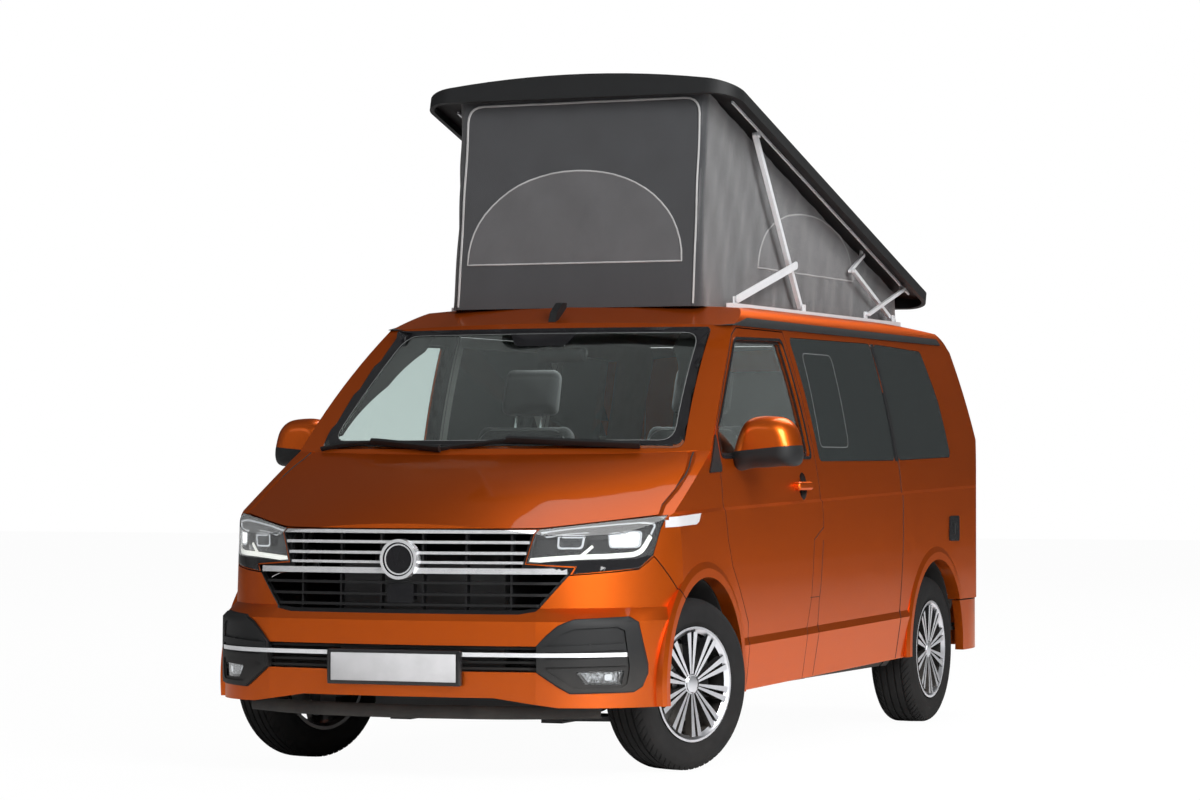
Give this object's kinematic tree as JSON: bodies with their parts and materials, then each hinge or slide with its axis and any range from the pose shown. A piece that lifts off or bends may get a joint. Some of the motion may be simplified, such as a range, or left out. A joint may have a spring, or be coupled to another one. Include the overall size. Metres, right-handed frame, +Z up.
{
  "type": "camper van",
  "caption": "Panel-van camper with a front-lifting pop-up roof and tent, hinged doors, bonnet and tailgate, steered front wheels and rolling wheels.",
  "frame": {"origin": "on the ground under the middle of the vehicle", "axes": "front towards -Y, the left side towards +X, +Z up"},
  "size_m": [2.3524, 4.917, 2.8626],
  "materials": {
    "alloy": "extruded aluminium",
    "black_plastic": "fine-grained black plastic",
    "bright_trim": "bright chrome",
    "chassis": "black coated steel",
    "dark_glass": "dark privacy glass",
    "dark_trim": "soft-touch dark plastic",
    "engine": "cast alloy block",
    "glass": "green-grey tinted glass",
    "kitchen_grey": "light grey laminate",
    "lamp_housing": "dark lamp bowl",
    "lamp_lens": "clear polycarbonate",
    "mirror_housing": "painted cap over a black base",
    "paint": "metallic copper orange lacquer",
    "roof_shell": "painted shell, dark underside",
    "seat_fabric": "dark woven cloth",
    "tail_lamp": "red lamp cover",
    "tent_fabric": "charcoal tent cloth",
    "tyre": "tyre rubber",
    "underbody": "black underbody sealant",
    "wheel_alloy": "diamond-turned alloy with black pockets"
  },
  "bodies": {
    "root": {"antenna": "black_plastic", "body_shell": "paint", "bright_bars": "bright_trim", "bumper_trim": "black_plastic", "dashboard": "dark_trim", "engine": "engine", "fixed_glass": "glass", "floor_pan": "underbody", "front_axle": "chassis", "front_bumper": "paint", "front_seats": "seat_fabric", "grille": "black_plastic", "headlamps": "lamp_housing", "kitchen_unit": "kitchen_grey", "lamp_lenses": "lamp_lens", "rear_axle": "chassis", "rear_bench": "seat_fabric", "rear_bumper": "paint", "roof_frame": "alloy", "roof_rails": "black_plastic", "seat_bases": "dark_trim", "sliding_door": "paint", "sliding_window": "dark_glass", "steering_wheel": "dark_trim", "tail_lamps": "tail_lamp", "tent": "tent_fabric"},
    "bonnet": {"bonnet": "paint"},
    "door_left": {"door_window_left": "glass", "front_door_left": "paint", "mirror_left": "mirror_housing"},
    "door_right": {"door_window_right": "glass", "front_door_right": "paint", "mirror_right": "mirror_housing"},
    "knuckle_left": {"knuckle_left": "chassis"},
    "knuckle_right": {"knuckle_right": "chassis"},
    "lifting_roof": {"pop_top": "roof_shell", "shell_rails": "alloy"},
    "rear_arms": {"rear_arms": "alloy"},
    "rear_links": {"rear_links": "alloy"},
    "rear_stays": {"rear_stays": "alloy"},
    "wheel_front_left": {"rim_front_left": "wheel_alloy", "tyre_front_left": "tyre"},
    "wheel_front_right": {"rim_front_right": "wheel_alloy", "tyre_front_right": "tyre"},
    "wheel_rear_left": {"rim_rear_left": "wheel_alloy", "tyre_rear_left": "tyre"},
    "wheel_rear_right": {"rim_rear_right": "wheel_alloy", "tyre_rear_right": "tyre"},
    "roof_levers": {"roof_levers": "alloy"},
    "roof_struts": {"roof_struts": "alloy"},
    "tailgate": {"tailgate": "paint", "tailgate_window": "dark_glass"}
  },
  "joints": [
    {"name": "door_left_hinge", "type": "hinge", "parent": "root", "child": "door_left", "pos_m": [0.96, -1.375, 1], "axis": [0, 0, -1], "range_deg": [0, 65]},
    {"name": "door_right_hinge", "type": "hinge", "parent": "root", "child": "door_right", "pos_m": [-0.96, -1.375, 1], "axis": [0, 0, 1], "range_deg": [0, 65]},
    {"name": "bonnet_hinge", "type": "hinge", "parent": "root", "child": "bonnet", "pos_m": [0, -1.452, 1.264], "axis": [-1, 0, 0], "range_deg": [0, 55]},
    {"name": "tailgate_hinge", "type": "hinge", "parent": "root", "child": "tailgate", "pos_m": [0, 2.234, 1.793], "axis": [1, 0, 0], "range_deg": [0, 80]},
    {"name": "roof_lift", "type": "hinge", "parent": "root", "child": "lifting_roof", "pos_m": [0, 2.43, 2.385], "axis": [1, 0, 0], "range_deg": [0, 16], "deforming": ["tent"]},
    {"name": "roof_struts_fold", "type": "hinge", "parent": "root", "child": "roof_struts", "pos_m": [0, 0.455, 1.902], "axis": [1, 0, 0], "range_deg": [0, 50.84]},
    {"name": "roof_levers_fold", "type": "hinge", "parent": "root", "child": "roof_levers", "pos_m": [0, -0.433, 1.902], "axis": [1, 0, 0], "range_deg": [-13.49, 0]},
    {"name": "rear_arms_fold", "type": "hinge", "parent": "root", "child": "rear_arms", "pos_m": [0, 1.766, 1.902], "axis": [1, 0, 0], "range_deg": [0, 19.98]},
    {"name": "rear_stays_fold", "type": "hinge", "parent": "root", "child": "rear_stays", "pos_m": [0, 1.338, 1.904], "axis": [1, 0, 0], "range_deg": [-14.5, 0]},
    {"name": "rear_links_fold", "type": "hinge", "parent": "lifting_roof", "child": "rear_links", "pos_m": [0, 1.423, 2.185], "axis": [1, 0, 0], "range_deg": [-38.77, 0]},
    {"name": "steering_left", "type": "hinge", "parent": "root", "child": "knuckle_left", "pos_m": [0.77, -1.571, 0.195], "axis": [-0.2406, 0, 0.9706], "range_deg": [-15, 54]},
    {"name": "wheel_front_left", "type": "hinge", "parent": "knuckle_left", "child": "wheel_front_left", "pos_m": [0.81723, -1.59958, 0.33982], "axis": [0.946, -0.324, -0.0134], "continuous": true},
    {"name": "wheel_rear_left", "type": "hinge", "parent": "root", "child": "wheel_rear_left", "pos_m": [0.822, 1.457, 0.339], "axis": [1, 0, 0], "continuous": true},
    {"name": "steering_right", "type": "hinge", "parent": "root", "child": "knuckle_right", "pos_m": [-0.77, -1.571, 0.195], "axis": [0.2406, 0, 0.9706], "range_deg": [-15, 54]},
    {"name": "wheel_front_right", "type": "hinge", "parent": "knuckle_right", "child": "wheel_front_right", "pos_m": [-0.81723, -1.54242, 0.33982], "axis": [0.946, -0.324, 0.0134], "continuous": true},
    {"name": "wheel_rear_right", "type": "hinge", "parent": "root", "child": "wheel_rear_right", "pos_m": [-0.822, 1.457, 0.339], "axis": [1, 0, 0], "continuous": true}
  ],
  "couplings": [
    {"joint": "roof_struts_fold", "follows": "roof_lift", "ratio": 3.1745},
    {"joint": "roof_levers_fold", "follows": "roof_lift", "ratio": -0.84025},
    {"joint": "rear_arms_fold", "follows": "roof_lift", "ratio": 1.2458},
    {"joint": "rear_stays_fold", "follows": "roof_lift", "ratio": -0.90321},
    {"joint": "rear_links_fold", "follows": "roof_lift", "ratio": -2.42},
    {"joint": "steering_right", "follows": "steering_left", "ratio": 1}
  ]
}
